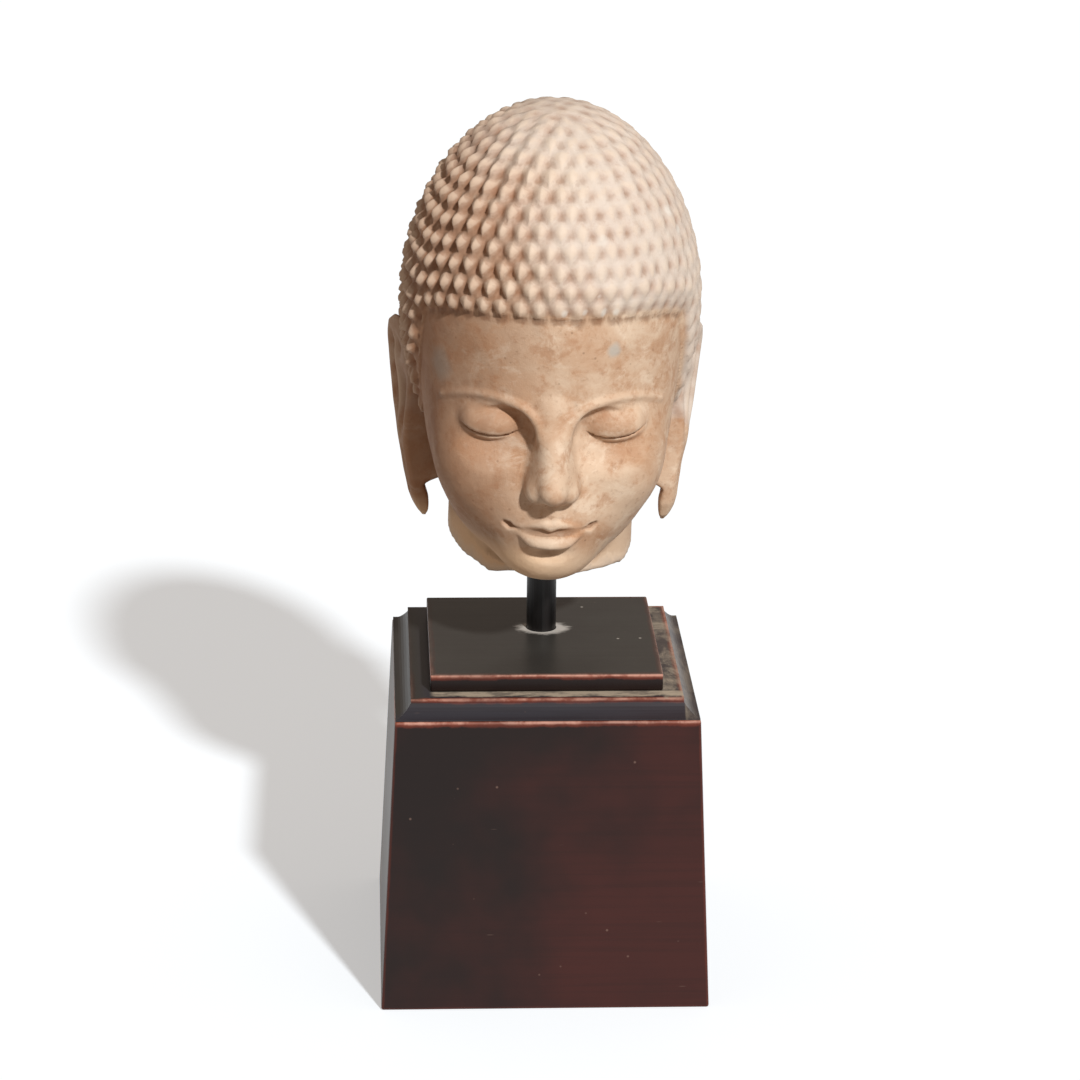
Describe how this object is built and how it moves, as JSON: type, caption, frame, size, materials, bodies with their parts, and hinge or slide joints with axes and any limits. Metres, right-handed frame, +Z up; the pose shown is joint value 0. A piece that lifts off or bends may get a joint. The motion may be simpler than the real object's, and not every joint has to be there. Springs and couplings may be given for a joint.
{
  "type": "stone buddha head",
  "caption": "Carved stone head of a Buddha with snail-shell curls and long ears, held on a round rod above a stepped square wooden stand.",
  "frame": {"origin": "centre of the stand's square underside", "axes": "+Z up through the stand and the head, -Y the way the face looks, +X to the head's left hand"},
  "size_m": [0.1748, 0.1949, 0.4752],
  "materials": {
    "worn_stone": "worn",
    "dark_lacquered_wood": "satin lacquer",
    "blackened_rod": "satin black"
  },
  "bodies": {
    "root": {"stone_head": "worn_stone", "mounting_rod": "blackened_rod", "stand_plate": "dark_lacquered_wood", "stand_cap": "dark_lacquered_wood", "stand_block": "dark_lacquered_wood"}
  },
  "joints": []
}
